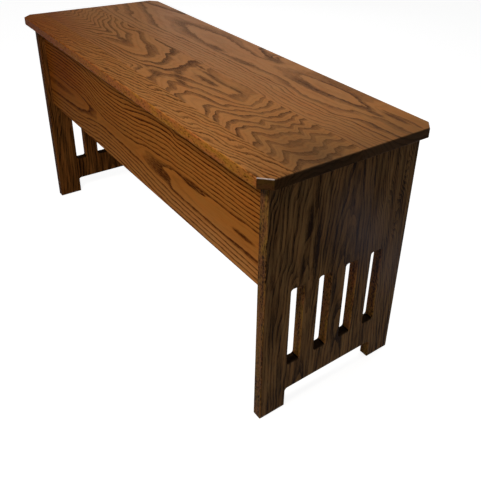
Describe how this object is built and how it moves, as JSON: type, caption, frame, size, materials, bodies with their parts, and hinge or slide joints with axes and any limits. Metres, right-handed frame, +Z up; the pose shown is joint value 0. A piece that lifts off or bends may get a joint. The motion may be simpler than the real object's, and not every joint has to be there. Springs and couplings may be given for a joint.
{
  "type": "storage bench",
  "caption": "Backless wooden storage bench: plank lid with clipped corners hinged over a box between slotted slab ends, each cut out below to leave a front and a rear foot.",
  "frame": {"origin": "on the floor, under the centre of the lid's outline", "axes": "+X along the bench to the right seen from the front, -Y towards the sitter's side, +Z up"},
  "size_m": [0.9144, 0.3302, 0.4572],
  "materials": {
    "lid_oak": "stained oak under a satin varnish",
    "end_oak": "dark stained oak under a satin varnish",
    "box_oak": "stained oak under a satin varnish",
    "floor_panel": "veneered plywood under a thin varnish",
    "bumper_rubber": "soft matt rubber",
    "hinge_brass": "brushed, slightly aged",
    "screw_brass": "bright turned heads"
  },
  "bodies": {
    "case": {"left_end_front_board": "end_oak", "left_end_middle_board": "end_oak", "left_end_rear_board": "end_oak", "right_end_front_board": "end_oak", "right_end_middle_board": "end_oak", "right_end_rear_board": "end_oak", "front_board": "box_oak", "back_board": "box_oak", "box_floor": "floor_panel", "lid_bumpers": "bumper_rubber", "left_hinge_case_leaf": "hinge_brass", "left_hinge_pin": "hinge_brass", "right_hinge_case_leaf": "hinge_brass", "right_hinge_pin": "hinge_brass", "case_hinge_screws": "screw_brass"},
    "lid": {"lid_front_board": "lid_oak", "lid_middle_board": "lid_oak", "lid_rear_board": "lid_oak", "left_hinge_lid_leaf": "hinge_brass", "right_hinge_lid_leaf": "hinge_brass", "lid_hinge_screws": "screw_brass"}
  },
  "joints": [
    {"name": "lid_hinge", "type": "hinge", "parent": "case", "child": "lid", "pos_m": [0, 0.1524, 0.4364], "axis": [-1, 0, 0], "range_deg": [0, 114]}
  ]
}
